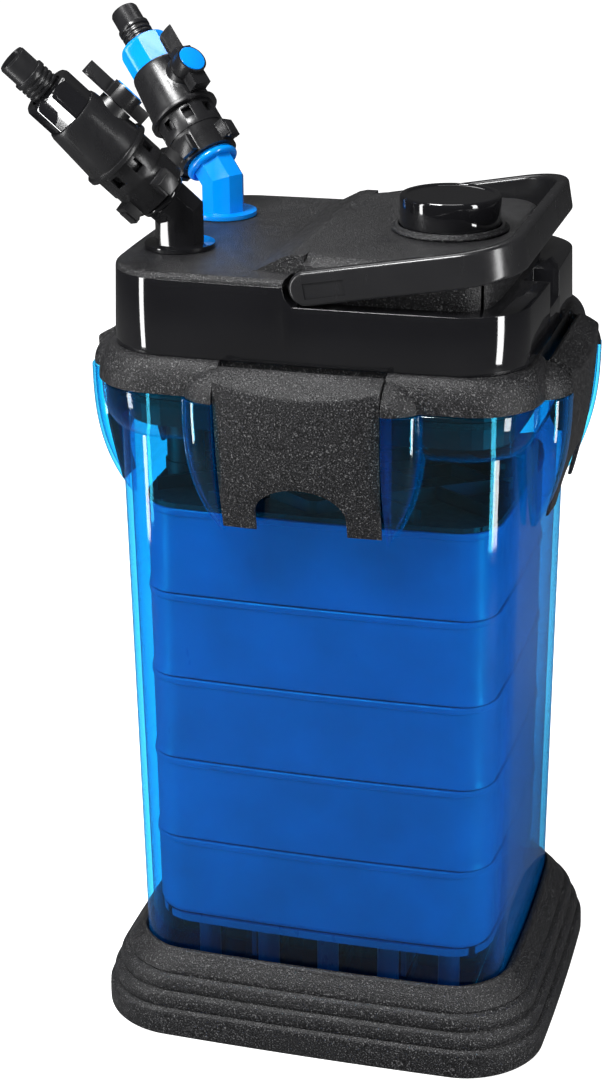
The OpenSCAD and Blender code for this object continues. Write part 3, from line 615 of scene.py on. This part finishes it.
levels = [RING_Z + 0.5] + [RING_Z + RING_H * t for t in (0.08, 0.2, 0.32, 0.44, 0.56, 0.68, 0.78,
                                                         0.87, 0.94, 0.98, 1.0)]
skirt = [(RING_Z, 133.6, 113.6, 37)]
skirt += [(z, HEAD_X + bulge(z), HEAD_Y + bulge(z), HEAD_R + bulge(z) * 0.25) for z in levels]
ring = loft("head_ring_moulded", skirt + [(HEAD_Z, *RING_BORE), (RING_Z, *RING_BORE)], loop=True, arc=20)
lobes = on_all_sides(lambda: ellipsoid("lobe", (EAR_IN - 1.0, -104.0, RING_Z), LOBE_RADII))
boolean(ring, lobes, "UNION")
boolean(ring, [block("under", (-170, -170, RING_Z - 40), (170, 170, RING_Z)),
               loft("hollow", [(RING_Z - 5, *RING_BORE), (HEAD_Z + 5, *RING_BORE)])], "DIFFERENCE")
boolean(ring, [clip_recess(k) for k in range(4)], "DIFFERENCE")
rounded(ring, 0.7, 2, 40)
finish_piece(ring, "head_ring", 40)

# ---------------------------------------------------------------- head housing and cover


def deck_cutters():
    """The deck that the handle folds into, with a round step behind the handle's pivot."""
    turn = [math.radians(d) for d in range(126, 235, 4)]
    ends = [(PIVOT.x + 13.5 * math.cos(a), PIVOT.z + 13.5 * math.sin(a)) for a in turn]
    step = [p for p in ends if p[1] >= DECK_Z]
    space = [(160.0, DECK_Z), (160.0, 530.0), (step[0][0], 530.0)] + step
    return [prism("deck", space + [(step[-1][0] + 1.0, DECK_Z)], ALONG["y"], -160.0, 160.0)]


def bores(radius, low, high, places):
    """Upright cylinders at places."""
    return [cylinder("bore", radius, low, high, centre=p) for p in places]


def head_housing():
    """Lower half of the head: a hollow shell with a deck, and a pocket with a notch cut into it at
    the end where the handle's bar lies."""
    sections = [(HEAD_Z, 125.4, 105.4, 35), (HEAD_Z + 0.6, HEAD_X, HEAD_Y, HEAD_R),
                (494.0, 124.3, 104.3, 35)]
    obj = loft("head_housing_moulded", sections, arc=24)
    cavity = [(HEAD_Z - 1, 121.6, 101.6, 31), (DECK_Z - 4, 120.6, 100.6, 31)]
    boolean(obj, [loft("cavity", cavity, arc=24)], "DIFFERENCE")
    boolean(obj, deck_cutters(), "DIFFERENCE")
    boolean(obj, bores(PRIMER_BORE, 430, 540, [PRIMER]), "DIFFERENCE")
    boolean(obj, bores(15.2, 470, 500, PORTS), "DIFFERENCE")
    notch = block("notch", (109, -15, 467), (130, 15, 490))
    boolean(obj, [block("pocket", (107, -18, 463), (121.2, 18, 479.2))], "UNION")
    boolean(obj, [notch], "DIFFERENCE")
    return rounded(obj, 0.9, 3, 40)


def head_cover():
    """Upper half of the head: a lid that the taps come up through and a raised block round the
    primer, with a ramp between them and a boss for each arm of the handle."""
    lid = [(494.0, 124.3, 104.3, 35), (495.2, 124.2, 104.2, 35), (496.4, 123.7, 103.7, 34.6),
           (497.3, 122.8, 102.8, 34), (497.85, 121.4, 101.4, 33), (HEAD_TOP, 119.8, 99.8, 32)]
    obj = loft("head_cover_moulded", lid, arc=24)
    boolean(obj, deck_cutters(), "DIFFERENCE")
    raised = [(DECK_Z, BLOCK_HX, 92, 18), (503.4, BLOCK_HX, 92, 18), (504.6, 59.6, 91.2, 18),
              (507.2, 57.2, 87.4, 17), (508.1, 55.8, 85.8, 16), (BLOCK_TOP, 53.6, 83.6, 15)]
    boolean(obj, [loft("raised", raised, at=(BLOCK_X, 0.0), arc=16)], "UNION")
    ramp = [(-36, 497.2), (-36, 498.02), (-33, 498.3), (-16, 507.2), (-11, 508.4), (-4, 508.45),
            (-4, 497.2)]
    boolean(obj, [prism("ramp", ramp, ALONG["y"], -86.0, 86.0)], "UNION")
    bosses = [cylinder("boss", 8.0, low, high, axis="y", centre=(PIVOT.x, PIVOT.z))
              for low, high in ((88, 96.8), (-96.8, -88.0))]
    boolean(obj, bosses, "UNION")
    hollow = block("hollow", (BLOCK_X - 54, -84, DECK_Z - 2), (BLOCK_X + 54, 84, 503))
    boolean(obj, [hollow], "DIFFERENCE")
    boolean(obj, bores(PRIMER_BORE, 430, 540, [PRIMER]), "DIFFERENCE")
    boolean(obj, bores(12.05, 480, 520, PORTS), "DIFFERENCE")
    return rounded(obj, 0.8, 3, 40)


finish_piece(head_housing(), "head_housing", 35)
finish_piece(head_cover(), "head_cover", 35)

# ---------------------------------------------------------------- primer

# Both are turned from (radius, height) profiles; the button is a cup with a flange inside its mouth.
button = [(0.02, 528.6), (25.6, 528.6), (26.0, 528.9), (26.3, 529.3), (28.4, 529.5), (29.3, 529.2),
          (29.8, 528.5), (PRIMER_R, 527.6), (PRIMER_R, 512.0), (29.7, 511.0), (29.7, 497.6),
          (29.4, 497.0), (21.0, 497.0), (20.5, 497.5), (20.5, 500.6), (21.0, 501.0), (26.6, 501.0),
          (27.0, 501.4), (27.0, 525.0), (26.5, 525.5), (0.02, 525.5)]
finish_piece(lathe("primer_button_turned", button, PRIMER), "primer_button", 30)
collar = [(PRIMER_R + 0.5, 508.5), (34.2, 508.5), (34.8, 508.9), (35.0, 509.6), (34.6, 510.5),
          (33.6, 510.9), (33.2, 511.3), (32.9, 511.9), (32.2, 512.2), (31.0, 512.2),
          (PRIMER_R + 0.5, 511.8)]
finish_piece(lathe("primer_collar_turned", collar, PRIMER), "primer_collar", 50)


def spring():
    """The return spring, copied from its CAD coil at rest length and given a mesh of its own; nothing here
    shortens it.
    """
    obj = link_object("primer_spring_coil", NODES["primer_spring"].data.copy())
    finish_piece(obj, "primer_spring", 60)
    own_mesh(obj)


spring()

# ---------------------------------------------------------------- clips


# How far the face of a clip falls back, as (part of the way down, fall back), from crease to foot.
CLIP_FACE = [(0.06, 0.1), (0.14, 0.35), (0.26, 0.9), (0.38, 1.6), (0.50, 2.7), (0.62, 4.2), (0.74, 6.2),
             (0.86, 8.6), (0.95, 10.4), (1.0, 11.4)]
CLIP_TOP, CLIP_BROW = 447.2, 112.4
PIN, PIN_BORE = (-115.5, 437.5), 1.56
ARCH_HALF, ARCH_Z, ARCH_RISE = 27.5, 361, 18


def clip_section(x):
    """The clip's outline at x, as (distance out, height): its crease is lowest and furthest out in
    the middle, so that it smiles."""
    smile = 1 - (x / CLIP_HALF) ** 2
    crease_z, crease_n = 441.5 - 6.9 * smile, 122.4 + 1.6 * smile
    low_z = crease_z - 1.6
    brow_n, drop = crease_n - 0.9 - CLIP_BROW, crease_z + 1.0 - CLIP_TOP
    face = [(110.2, CLIP_TOP), (111.0, 447.6), (CLIP_BROW, CLIP_TOP)]
    face += [(CLIP_BROW + brow_n * t, CLIP_TOP + drop * t + 0.4 * math.sin(math.pi * t))
             for t in (0.25, 0.5, 0.75, 1.0)]
    face += [(crease_n - 0.2, crease_z), (crease_n, low_z)]
    face += [(crease_n - back, low_z + (CLIP_LOW + 0.6 - low_z) * t) for t, back in CLIP_FACE]
    inside = [(crease_n - 12.4, CLIP_LOW), (109.6, CLIP_LOW + 0.4), (110.6, 356.0), (114.6, 372.0),
              (117.4, 391.0), (118.6, 412.0), (118.6, 428.0), (114.0, 429.4), (109.6, 431.0),
              (107.8, 436.0), (107.8, 443.0), (108.6, 446.0)]
    return face + inside


def clip(name):
    """Clip drawn on the front: a shell with a smiling crease, feet that curl in, a finger arch and
    a hook. Its sides draw in a little towards the foot."""
    rings = []
    for x in evenly(-CLIP_HALF, CLIP_HALF, 33):
        rings.append([(x * (1 - 0.028 * max(0.0, (440 - z) / 90)), -n, z) for n, z in clip_section(x)])
    shell = skin(name, rings)
    turn = [math.radians(180 - d) for d in range(0, 181, 6)]
    arch = [(ARCH_HALF * math.cos(a), ARCH_Z + ARCH_RISE * math.sin(a)) for a in turn]
    arch = [(-ARCH_HALF, CLIP_LOW - 5)] + arch + [(ARCH_HALF, CLIP_LOW - 5)]
    boolean(shell, [prism("arch", arch, lambda u, v, d: (u, -d, v), 100.0, 130.0)], "DIFFERENCE")
    pin_hole = cylinder("bore", PIN_BORE, -60, 60, axis="x", centre=PIN, sides=32)
    boolean(shell, [pin_hole], "DIFFERENCE")
    hook = [(120.0, 397.0), (120.0, 411.0), (115.8, 408.0), (115.6, 407.6), (107.2, 407.6),
            (107.2, 404.4), (111.0, 397.0)]
    boolean(shell, [prism("hook", hook, lambda u, v, d: (d, -u, v), -28.0, 28.0)], "UNION")
    return rounded(shell, 0.9, 3, 38)


for k, side in enumerate(("front", "right", "back", "left")):
    finish_piece(turned_side(clip(f"clip_{side}_moulded"), k), f"clip_{side}", 34)

# ---------------------------------------------------------------- handle

ARM_OUT, ARM_T, REACH, HANDLE_H, FAR_R = 105.5, 8.0, 121.0, 20.0, 35.0
HANDLE_TILT = math.radians(10.0)


def bail():
    """U-shaped handle, drawn folded flat with its pivot at the origin, then put in its place with
    its far end raised by HANDLE_TILT."""
    half = HANDLE_H / 2

    def path(out, r):
        far = REACH - (ARM_OUT - out)
        bend = [math.radians(a) for a in range(0, 91, 5)]
        near = [(far - r + r * math.sin(a), -out + r - r * math.cos(a)) for a in bend]
        return [(-half - 1, -out)] + near + [(x, -y) for x, y in near[::-1]] + [(-half - 1, out)]

    plan = path(ARM_OUT, FAR_R) + path(ARM_OUT - ARM_T, FAR_R - ARM_T)[::-1]
    obj = prism("handle_moulded", plan, ALONG["z"], -half, half)
    turn = [math.radians(d) for d in range(90, 271, 6)]
    side = [(half * math.cos(a), half * math.sin(a)) for a in turn]
    side += [(REACH + 20, -half - 0.001), (REACH + 20, half + 0.001)]
    boolean(obj, [prism("profile", side, ALONG["y"], -140.0, 140.0)], "INTERSECT")
    rounded(obj, 2.6, 5, 40)
    cuts = []
    for s in (-1, 1):
        low, high = sorted((s * (ARM_OUT - 0.6), s * (ARM_OUT + 3)))
        cuts.append(block("panel", (-1.0, low, -5.5), (23.0, high, 3.5)))
        low, high = sorted((s * (ARM_OUT - ARM_T - 2), s * (ARM_OUT - 2)))
        cuts.append(cylinder("pivot", 3.05, low, high, axis="y", sides=40))
    boolean(obj, cuts, "DIFFERENCE")
    tilt = Matrix.Rotation(-HANDLE_TILT, 4, "Y")
    obj.data.transform(Matrix.Translation(PIVOT * MM) @ tilt)
    return obj


finish_piece(bail(), "handle", 34)

# ---------------------------------------------------------------- taps and small mouldings

for side in ("inlet", "outlet"):
    soften(f"{side}_elbow", 1.1, 3)
    soften(f"{side}_collar", 0.5, 2)
    soften(f"{side}_valve", 0.6, 2)
    soften(f"{side}_lever", 1.0, 3)
    soften(f"{side}_cap", 0.4, 2)
    soften(f"{side}_nut", 0.4, 2)
    soften(f"{side}_nozzle", 0.35, 2)
soften("cable_gland", 0.4, 2)

# ---------------------------------------------------------------- floor, lights and camera


def ray_kind(tree, output):
    """One for rays of a kind and nought for the rest."""
    return tree.nodes.new("ShaderNodeLightPath").outputs[output]


def floor():
    """A wide pale floor that glows for the camera alone. Seen in the object's gloss it is dim, as in
    a studio where only the lights are bright."""
    mesh = bpy.data.meshes.new("floor")
    far = FLOOR_HALF
    mesh.from_pydata([(-far, -far, 0), (far, -far, 0), (far, far, 0), (-far, far, 0)], [], [(0, 1, 2, 3)])
    obj = link_object("floor", mesh)
    n = Nodes("studio_floor")
    pale = n.ramp(n.noise(3.0), [(0.3, (0.90, 0.90, 0.90)), (0.7, (0.93, 0.93, 0.93))])
    glow = n.math("MULTIPLY", ray_kind(n.tree, "Is Camera Ray"), FLOOR_GLOW)
    dim = n.new("ShaderNodeMix", data_type="RGBA")
    n.link(ray_kind(n.tree, "Is Glossy Ray"), dim.inputs["Factor"])
    n.link(pale, dim.inputs["A"])
    dim.inputs["B"].default_value = FLOOR_IN_GLOSS
    mesh.materials.append(n.set(Base_Color=dim.outputs["Result"], Roughness=0.8,
                                Emission_Color=(1.0, 1.0, 1.0), Emission_Strength=glow,
                                Specular_IOR_Level=0.0))


def softbox(name, place, aim, width, height, power):
    """Rectangular lamp at a place, turned to face a point."""
    light = bpy.data.lights.new(name, "AREA")
    light.shape = "RECTANGLE"
    light.size, light.size_y = width, height
    light.energy = power
    obj = link_object(name, light)
    obj.location = place
    obj.rotation_euler = (Vector(aim) - Vector(place)).to_track_quat("-Z", "Y").to_euler()


FLOOR_HALF, FLOOR_GLOW, FLOOR_IN_GLOSS = 60, 0.78, (0.10, 0.10, 0.10, 1.0)
floor()
softbox("key", (-0.40, -0.74, 1.75), (0, 0, 0.42), 0.6, 0.4, 36)
softbox("strip_left", (-0.66, -0.50, 0.50), (0, 0, 0.46), 0.115, 0.92, 5.0)
softbox("strip_right", (0.78, -0.30, 0.50), (0, 0, 0.46), 0.15, 0.92, 6.6)
softbox("back", (-0.5, 0.9, 2.1), (0, 0, 0.4), 1.2, 0.8, 14)

BACKDROP, ROOM, ROOM_IN_GLOSS = 1.0, 0.30, 0.04
world = bpy.data.worlds.new("studio")
world.use_nodes = True
tree = world.node_tree
brightness = tree.nodes.new("ShaderNodeMapRange")
brightness.inputs["To Min"].default_value = ROOM
brightness.inputs["To Max"].default_value = BACKDROP
tree.links.new(ray_kind(tree, "Is Camera Ray"), brightness.inputs["Value"])
in_gloss = tree.nodes.new("ShaderNodeMapRange")
in_gloss.inputs["To Max"].default_value = ROOM_IN_GLOSS
tree.links.new(ray_kind(tree, "Is Glossy Ray"), in_gloss.inputs["Value"])
tree.links.new(brightness.outputs["Result"], in_gloss.inputs["To Min"])
tree.nodes["Background"].inputs["Color"].default_value = (1.0, 1.0, 1.0, 1.0)
tree.links.new(in_gloss.outputs["Result"], tree.nodes["Background"].inputs["Strength"])
bpy.context.scene.world = world

AZIMUTH, ELEVATION, ROLL = math.radians(15.89), math.radians(21.3), math.radians(-0.55)
DISTANCE, AIM_RIGHT, AIM_UP = 1.4523, -0.02619, 0.30437
LENS, SHIFT_X = 76.86, -0.007
back_to_camera = Vector((math.sin(AZIMUTH) * math.cos(ELEVATION),
                         -math.cos(AZIMUTH) * math.cos(ELEVATION), math.sin(ELEVATION)))
right = Vector((math.cos(AZIMUTH), math.sin(AZIMUTH), 0.0))
up = back_to_camera.cross(right)
aim = right * AIM_RIGHT + Vector((0, 0, AIM_UP))
turn = Matrix((right * math.cos(ROLL) + up * math.sin(ROLL),
               up * math.cos(ROLL) - right * math.sin(ROLL), back_to_camera)).transposed()
camera = link_object("camera", bpy.data.cameras.new("camera"))
camera.data.lens, camera.data.shift_x = LENS, SHIFT_X
camera.matrix_world = Matrix.Translation(aim + back_to_camera * DISTANCE) @ turn.to_4x4()
bpy.context.scene.camera = camera
bpy.context.scene.view_settings.view_transform = "Standard"
